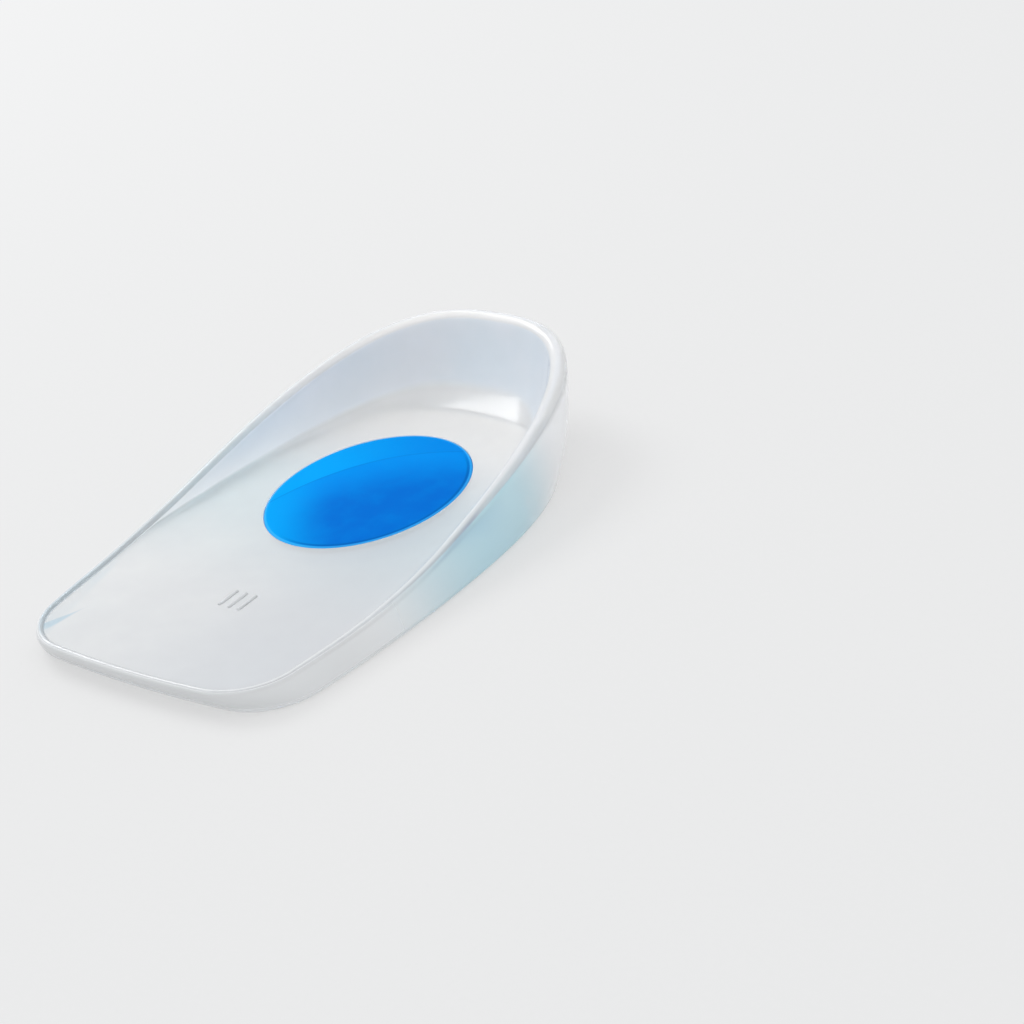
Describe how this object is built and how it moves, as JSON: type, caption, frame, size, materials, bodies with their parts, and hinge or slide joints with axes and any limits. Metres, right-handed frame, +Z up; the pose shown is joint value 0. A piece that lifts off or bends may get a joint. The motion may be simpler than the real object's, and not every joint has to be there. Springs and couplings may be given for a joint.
{
  "type": "silicone heel cup",
  "caption": "Clear silicone heel cup with a rounded heel wall, a thin tapered front and a soft blue oval pad set in its seat.",
  "frame": {"origin": "middle of the bounding box, on the flat underside", "axes": "+Y from the toe edge to the heel, +Z up out of the seat, +X across"},
  "size_m": [0.0654, 0.11, 0.0195],
  "materials": {
    "clear_silicone": "milky clear moulded silicone, glossy",
    "blue_gel": "soft blue gel, satin"
  },
  "bodies": {
    "root": {"cup_body": "clear_silicone", "heel_pad": "blue_gel"}
  },
  "joints": []
}
